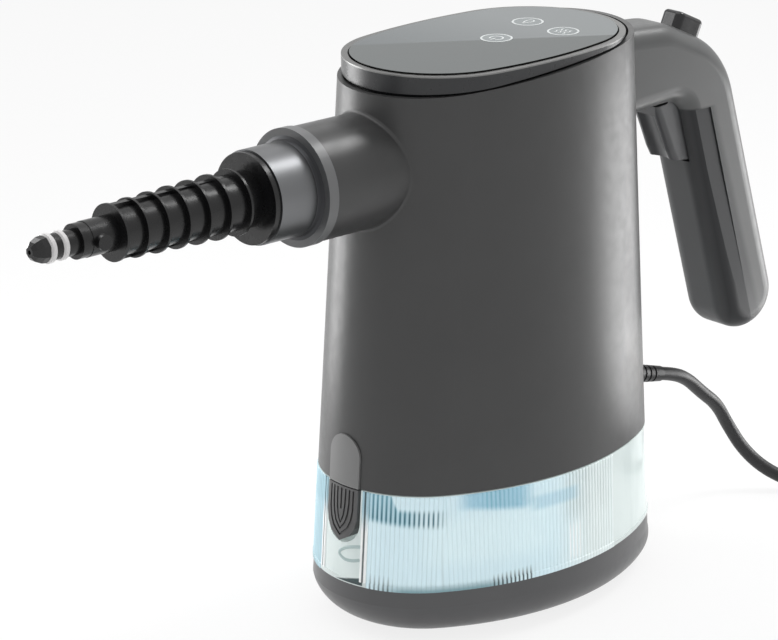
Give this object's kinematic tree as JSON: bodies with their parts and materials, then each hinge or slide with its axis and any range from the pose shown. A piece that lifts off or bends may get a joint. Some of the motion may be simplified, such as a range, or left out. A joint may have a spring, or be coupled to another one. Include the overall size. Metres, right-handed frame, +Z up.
{
  "type": "jewelry steam cleaner",
  "caption": "Handheld steam cleaner for jewelry: tapered oval housing over a clear clip-off tank, finned nozzle, pistol grip with trigger and lock slider, touch glass and mains cord.",
  "frame": {"origin": "in the flat face of the foot ring, which the part stands on, below the middle of the column's oval sections", "axes": "+Z up, nozzle along -X, grip at +X, mirror plane at Y = 0"},
  "size_m": [0.5231, 0.1767, 0.251],
  "materials": {
    "housing_plastic": "satin moulded ABS, dark grey",
    "cap_plastic": "satin moulded ABS, dark grey, with a pale edge",
    "rim_metal": "polished light rim",
    "touch_glass": "back-printed dark grey-green glass",
    "board": "green circuit board",
    "screw_steel": "zinc plated",
    "latch_plastic": "satin grey",
    "seal_rubber": "soft black",
    "inner_plastic": "unpainted moulding",
    "spring_steel": "spring steel",
    "cast_aluminium": "as cast",
    "plated_steel": "plated sheet",
    "brass": "turned brass",
    "hose_rubber": "silicone hose",
    "ring_plastic": "light grey satin",
    "collar_metal": "satin metallic",
    "nozzle_plastic": "gloss black",
    "o_ring": "white silicone",
    "grip_plastic": "satin dark grey",
    "cord_rubber": "black jacket",
    "tie": "woven hook tape",
    "clear_plastic": "clear plastic with a pale blue cast",
    "base_plastic": "satin dark grey",
    "button_plastic": "satin dark grey, grooved",
    "trigger_plastic": "satin grey",
    "slider_plastic": "gloss dark grey"
  },
  "bodies": {
    "housing": {"body_shell": "housing_plastic", "top_cap": "cap_plastic", "glass_rim": "rim_metal", "touch_glass": "touch_glass", "control_board": "board", "board_screws": "screw_steel", "latch_cover": "latch_plastic", "spigot_seal": "seal_rubber", "chassis_deck": "inner_plastic", "latch_spring": "spring_steel", "boiler": "cast_aluminium", "boiler_bracket": "plated_steel", "bracket_screws": "screw_steel", "thermostats": "plated_steel", "steam_pipe": "brass", "pump": "inner_plastic", "pump_mounts": "seal_rubber", "suction_hose": "hose_rubber", "feed_hose": "hose_rubber", "wire_harness": "cord_rubber", "nozzle_ring": "ring_plastic", "nozzle_collar": "collar_metal", "nozzle_barrel": "nozzle_plastic", "nozzle_tip": "nozzle_plastic", "o_ring_rear": "o_ring", "o_ring_front": "o_ring", "handle_back": "housing_plastic", "grip_front": "grip_plastic", "grip_screw": "screw_steel", "trigger_pin": "spring_steel", "trigger_spring": "spring_steel", "micro_switch": "inner_plastic", "strain_relief": "cord_rubber", "power_cord": "cord_rubber", "cord_coil": "cord_rubber", "cord_tie": "tie", "plug_body": "cord_rubber", "plug_blades": "brass"},
    "tank": {"water_tank": "clear_plastic", "tank_lid": "inner_plastic", "tank_spigot": "clear_plastic", "suction_filter": "inner_plastic", "base_shell": "base_plastic", "foot_ring": "seal_rubber"},
    "fill_plug": {"fill_plug": "seal_rubber"},
    "release_button": {"release_button": "button_plastic"},
    "trigger": {"trigger": "trigger_plastic"},
    "lock_slider": {"lock_slider": "slider_plastic"}
  },
  "joints": [
    {"name": "tank_slide", "type": "slide", "parent": "housing", "child": "tank", "axis": [0, 0, -1], "range_m": [0, 0.06]},
    {"name": "plug_lift", "type": "slide", "parent": "tank", "child": "fill_plug", "axis": [0, 0, 1], "range_m": [0, 0.01]},
    {"name": "latch_press", "type": "slide", "parent": "tank", "child": "release_button", "axis": [1, 0, 0], "range_m": [0, 0.0015], "stiffness_N_per_m": 900, "springref_m": -0.001, "deforming": ["latch_spring"]},
    {"name": "trigger_pull", "type": "hinge", "parent": "housing", "child": "trigger", "pos_m": [0.113, 0, 0.21], "axis": [0, -1, 0], "range_deg": [0, 9], "stiffness_Nm_per_rad": 0.6, "springref_deg": -8.59, "deforming": ["trigger_spring"]},
    {"name": "lock_slide", "type": "slide", "parent": "housing", "child": "lock_slider", "axis": [0.9085, 0, -0.4179], "range_m": [0, 0.005]}
  ]
}
